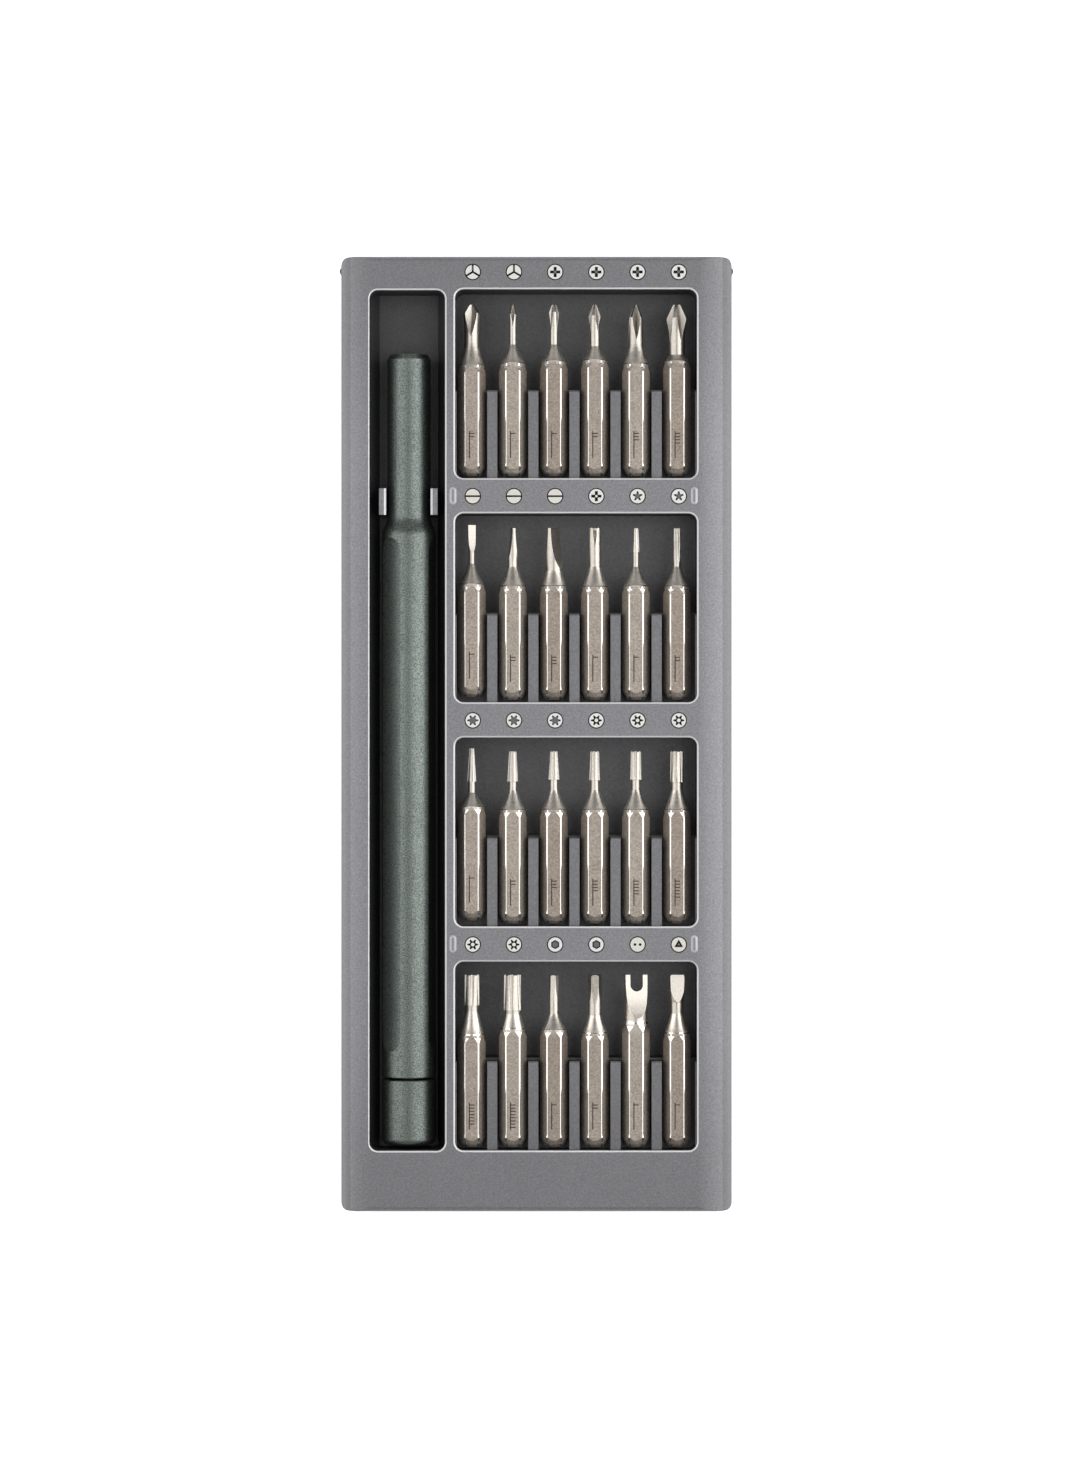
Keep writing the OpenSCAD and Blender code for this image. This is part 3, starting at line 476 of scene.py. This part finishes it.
def star(n, outer, inner, power=1.0, turn=90.0):
    """A rounded star with n points. A power above 1 makes the points slimmer."""
    points = []
    for i in range(16 * n):
        a = 2 * math.pi * i / (16 * n)
        lobe = (0.5 + 0.5 * math.cos(n * a)) ** power
        r = inner + (outer - inner) * lobe
        b = a + math.radians(turn)
        points.append((r * math.cos(b), r * math.sin(b)))
    return points


def bar(length, width, turn=0.0, start=0.0):
    """A straight stroke from start to length along the direction turn."""
    c, s = math.cos(math.radians(turn)), math.sin(math.radians(turn))
    box = [(start, -width / 2), (length, -width / 2), (length, width / 2), (start, width / 2)]
    return [(x * c - y * s, x * s + y * c) for x, y in box]


def slab(bm, outline, bottom, top, material):
    """A closed flat prism on the outline."""
    low = [bm.verts.new((x, y, bottom)) for x, y in outline]
    high = [bm.verts.new((x, y, top)) for x, y in outline]
    faces = [bm.faces.new(high), bm.faces.new(low[::-1])]
    for i in range(len(outline)):
        j = (i + 1) % len(outline)
        faces.append(bm.faces.new((low[i], low[j], high[j], high[i])))
    for face in faces:
        face.material_index = material


def cross_mark():
    """The four arms of a cross recess."""
    return [bar(0.82 * MM, 0.46 * MM, turn) for turn in (0, 90, 180, 270)]


def icon_shapes(kind):
    """(disc ink, [(outline, ink), ...]) from the bottom layer up."""
    if kind == "three_wing":
        arms = [(bar(DISC_R, 0.3 * MM, turn), MARK) for turn in (90, 210, 330)]
        return WHITE, arms + [(bar(1.0 * MM, 0.14 * MM, 90, 0.25 * MM), GREY)]
    if kind == "cross":
        return WHITE, [(b, MARK) for b in cross_mark()] + [(circle(0.27 * MM), GREY)]
    if kind == "cross_pin":
        return WHITE, [(b, MARK) for b in cross_mark()] + [(circle(0.2 * MM), WHITE)]
    if kind == "slot":
        return CREAM, [(bar(DISC_R, 0.28 * MM, 0, -DISC_R), MARK)]
    if kind == "five_point":
        return WHITE, [
            (star(5, 0.82 * MM, 0.36 * MM, 1.3), MARK), (star(5, 0.5 * MM, 0.27 * MM, 1.3), GREY)]
    if kind == "six_lobe":
        return WHITE, [
            (star(6, 0.92 * MM, 0.5 * MM, 1.6, 0), MARK),
            (star(6, 0.66 * MM, 0.42 * MM, 1.4, 0), GREY)]
    if kind == "six_lobe_pin":
        return WHITE, [
            (star(6, 0.92 * MM, 0.5 * MM, 1.6, 0), MARK), (circle(0.3 * MM), WHITE)]
    if kind == "six_side":
        return WHITE, [
            (corners(6, 0.74 * MM, 90), MARK), (corners(6, 0.52 * MM, 90), GREY)]
    if kind == "two_holes":
        return CREAM, [(circle(0.22 * MM, x * 0.42 * MM), MARK) for x in (-1, 1)]
    return CREAM, [(corners(3, 0.82 * MM, 90), MARK), (corners(3, 0.3 * MM, 90), GREY)]


ICON_KINDS = [
    ["three_wing"] * 2 + ["cross"] * 4,
    ["slot"] * 3 + ["cross_pin"] + ["five_point"] * 2,
    ["six_lobe"] * 3 + ["six_lobe_pin"] * 3,
    ["six_lobe_pin"] * 2 + ["six_side"] * 2 + ["two_holes", "three_side"],
]
ICON_SHIFT_X = 0.2 * MM
ICON_ABOVE_TIP = 5.05 * MM
ICON_GAP = 0.2 * LAYER   # off the tray's face, so that the two faces don't coincide


def icon(row, col):
    """One printed mark on the tray's face, above its bit."""
    disc, shapes = icon_shapes(ICON_KINDS[row][col])
    bm = bmesh.new()
    slab(bm, circle(RING_R), 0, LAYER, OUTLINE)
    slab(bm, circle(DISC_R), LAYER, 2 * LAYER, disc)
    for i, (outline, ink_index) in enumerate(shapes):
        slab(bm, outline, 2 * LAYER, (3 + 0.5 * i) * LAYER, ink_index)
    bm.transform(Matrix.Translation(
        (bit_x(col) + ICON_SHIFT_X, TIP_Y + ICON_ABOVE_TIP - row * ROW_PITCH, FACE_Z + ICON_GAP)))
    bmesh.ops.recalc_face_normals(bm, faces=bm.faces)
    mesh = bpy.data.meshes.new("icon_%d_%d" % (row + 1, col + 1))
    bm.to_mesh(mesh)
    bm.free()
    for material in INKS:
        mesh.materials.append(material)
    piece = bpy.data.objects.new(mesh.name, mesh)
    bpy.context.scene.collection.objects.link(piece)
    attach(piece, "tray")


# ------------------------------------------------------------------ floor, light and camera

FLOOR_SIZE = 6.0
FLOOR_GAP = 0.02 * MM   # below the tray's underside
FLOOR_GLOW = 0.8        # brings the paper up to white under this soft light


def build_floor():
    bpy.ops.mesh.primitive_plane_add(size=FLOOR_SIZE, location=(0, 0, UNDERSIDE_Z - FLOOR_GAP))
    floor = bpy.context.object
    floor.name = "floor"
    g = Graph("floor_paper")
    g.set(Base_Color=g.shade(rgb(247, 247, 247), g.vary(g.noise(0.02), 0.995, 1.005)))
    g.set(Roughness=0.9, Emission_Color=(1, 1, 1, 1), Emission_Strength=FLOOR_GLOW)
    floor.data.materials.append(g.material)


def softbox(name, place, aim, width, height, power):
    """A rectangular studio light turned to its aim. Its width is level, its height up the slope."""
    light = bpy.data.lights.new(name, "AREA")
    light.shape = "RECTANGLE"
    light.size = width
    light.size_y = height
    light.energy = power
    lamp = bpy.data.objects.new(name, light)
    lamp.location = place
    lamp.rotation_euler = (Vector(place) - Vector(aim)).to_track_quat("Z", "Y").to_euler()
    bpy.context.scene.collection.objects.link(lamp)


PANEL_FROM_VERTICAL = 60   # degrees, seen from the tray
PANEL_DISTANCE = 0.36
PANEL_SIZE = (0.34, 0.9)   # the lower part is hidden under the floor
PANEL_AHEAD = 0.03         # of the tray's middle, so that the bits' tapers catch the light
LEFT_POWER, RIGHT_POWER = 1.22, 1.85   # watts
END_PANEL_SIZE = (0.5, 0.2)
END_PANEL_FARTHER = 0.1
END_POWER = 0.1
WORLD_LIGHT = 0.22


def build_light():
    """Two long panels beside the tray, a faint one at each end, and a dim white surround."""
    out = PANEL_DISTANCE * math.sin(math.radians(PANEL_FROM_VERTICAL))
    up = PANEL_DISTANCE * math.cos(math.radians(PANEL_FROM_VERTICAL))
    aim = (0, PANEL_AHEAD, 0)
    softbox("softbox_left", (-out, PANEL_AHEAD, up), aim, *PANEL_SIZE, LEFT_POWER)
    softbox("softbox_right", (out, PANEL_AHEAD, up), aim, *PANEL_SIZE, RIGHT_POWER)
    end = out + END_PANEL_FARTHER
    softbox("softbox_front", (0, end, up), (0, 0, 0), *END_PANEL_SIZE, END_POWER)
    softbox("softbox_back", (0, -end, up), (0, 0, 0), *END_PANEL_SIZE, END_POWER)
    world = bpy.data.worlds.new("studio")
    world.use_nodes = True
    background = world.node_tree.nodes["Background"]
    background.inputs["Color"].default_value = (1, 1, 1, 1)
    # the camera sees a white backdrop that lights the set only faintly
    seen = world.node_tree.nodes.new("ShaderNodeLightPath").outputs["Is Camera Ray"]
    strength = world.node_tree.nodes.new("ShaderNodeMapRange")
    strength.inputs["To Min"].default_value = WORLD_LIGHT
    strength.inputs["To Max"].default_value = 1.0
    world.node_tree.links.new(seen, strength.inputs["Value"])
    world.node_tree.links.new(strength.outputs["Result"], background.inputs["Strength"])
    bpy.context.scene.world = world
    bpy.context.scene.view_settings.view_transform = "Standard"


CAMERA_HEIGHT = 0.70         # above the tray's face
CAMERA_Y = 0.33 * MM
FIELD_LENGTH = 237.7 * MM    # of the long side of the picture, at the tray's face


def build_camera():
    """Straight down, with the tray upright in the picture."""
    camera = bpy.data.cameras.new("camera")
    camera.sensor_width = 36
    camera.lens = camera.sensor_width * CAMERA_HEIGHT / FIELD_LENGTH
    camera.clip_start = 0.01
    rig = bpy.data.objects.new("camera", camera)
    rig.location = (0, CAMERA_Y, FACE_Z + CAMERA_HEIGHT)
    bpy.context.scene.collection.objects.link(rig)
    bpy.context.scene.camera = rig


paint_frame()
for row in range(ROWS):
    for col in range(COLS):
        icon(row, col)
build_floor()
build_light()
build_camera()
